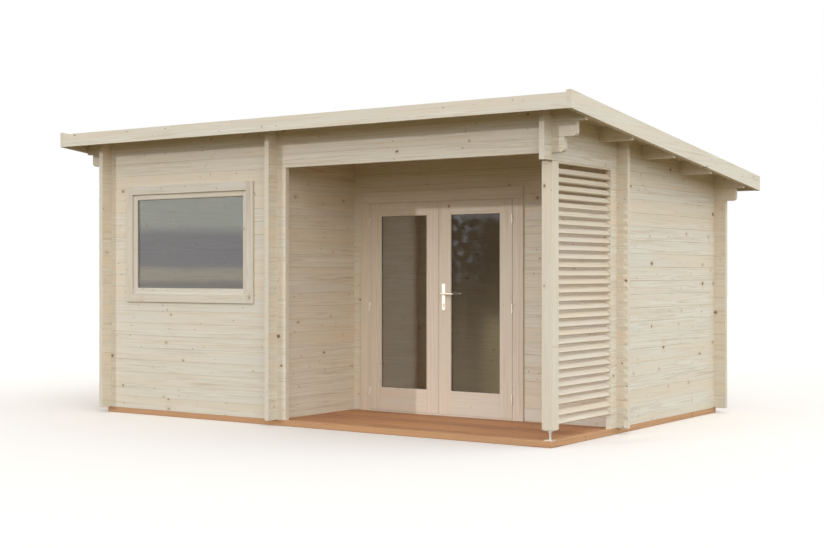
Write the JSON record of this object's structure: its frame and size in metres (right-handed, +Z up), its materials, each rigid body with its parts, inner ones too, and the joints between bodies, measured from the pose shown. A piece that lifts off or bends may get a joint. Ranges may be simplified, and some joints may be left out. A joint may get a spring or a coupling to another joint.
{
  "type": "log sauna cabin with pent roof and covered terrace",
  "caption": "Pale spruce log sauna cabin with a pent roof, a closed room with a picture window, and a covered terrace with glazed double doors and a louvre side.",
  "frame": {"origin": "on the ground, under the middle of the roof outline", "axes": "+X along the front from the closed room to the louvre side, +Y from the front to the back, +Z up"},
  "size_m": [5.352, 3.723, 2.5987],
  "materials": {
    "log_spruce": "planed untreated spruce logs, fine grain and small knots",
    "spruce": "planed untreated spruce boards",
    "joinery": "smooth glued pine joinery",
    "deck_timber": "red-brown impregnated deck boards",
    "brown_timber": "red-brown impregnated beams",
    "felt": "mineral roofing felt",
    "pane": "clear double glazing",
    "zinc": "bright zinc-plated steel",
    "satin_steel": "satin steel",
    "brass": "dull brass"
  },
  "bodies": {
    "root": {"base_rails": "brown_timber", "base_sleepers": "brown_timber", "floor_joists": "spruce", "deck_joists": "brown_timber", "terrace_boards": "deck_timber", "room_floor": "spruce", "left_wall": "log_spruce", "right_wall": "log_spruce", "right_upper_logs": "log_spruce", "back_wall": "log_spruce", "back_top_log": "log_spruce", "front_wall_lower": "log_spruce", "front_wall_left": "log_spruce", "front_wall_right": "log_spruce", "front_wall_upper": "log_spruce", "front_header": "log_spruce", "return_wall": "log_spruce", "door_wall_left": "log_spruce", "door_wall_right": "log_spruce", "door_wall_over": "log_spruce", "purlins": "spruce", "roof_boards": "spruce", "roof_felt": "felt", "front_fascia": "spruce", "rear_fascia": "spruce", "left_verge": "spruce", "right_verge": "spruce", "corner_post": "spruce", "post_foot": "zinc", "louvre_slats": "spruce", "window_casing": "joinery", "window_sash": "joinery", "window_glass": "pane", "door_frame": "joinery", "door_casing": "joinery", "frame_hinges": "zinc"},
    "left_door": {"left_leaf": "joinery", "left_glass": "pane", "left_hinges": "zinc"},
    "right_door": {"right_leaf": "joinery", "right_glass": "pane", "right_hinges": "zinc", "handle_plates": "satin_steel", "key_cylinder": "brass"},
    "door_lever": {"handle_lever": "satin_steel"}
  },
  "joints": [
    {"name": "left_door_hinge", "type": "hinge", "parent": "root", "child": "left_door", "pos_m": [-0.1, -0.5075, 0.9915], "axis": [0, 0, -1], "range_deg": [0, 100]},
    {"name": "right_door_hinge", "type": "hinge", "parent": "root", "child": "right_door", "pos_m": [1.393, -0.5075, 0.9915], "axis": [0, 0, 1], "range_deg": [0, 100]},
    {"name": "lever_turn", "type": "hinge", "parent": "right_door", "child": "door_lever", "pos_m": [0.701, -0.4995, 1.112], "axis": [0, 1, 0], "range_deg": [0, 42], "stiffness_Nm_per_rad": 3, "springref_deg": -20.05}
  ]
}
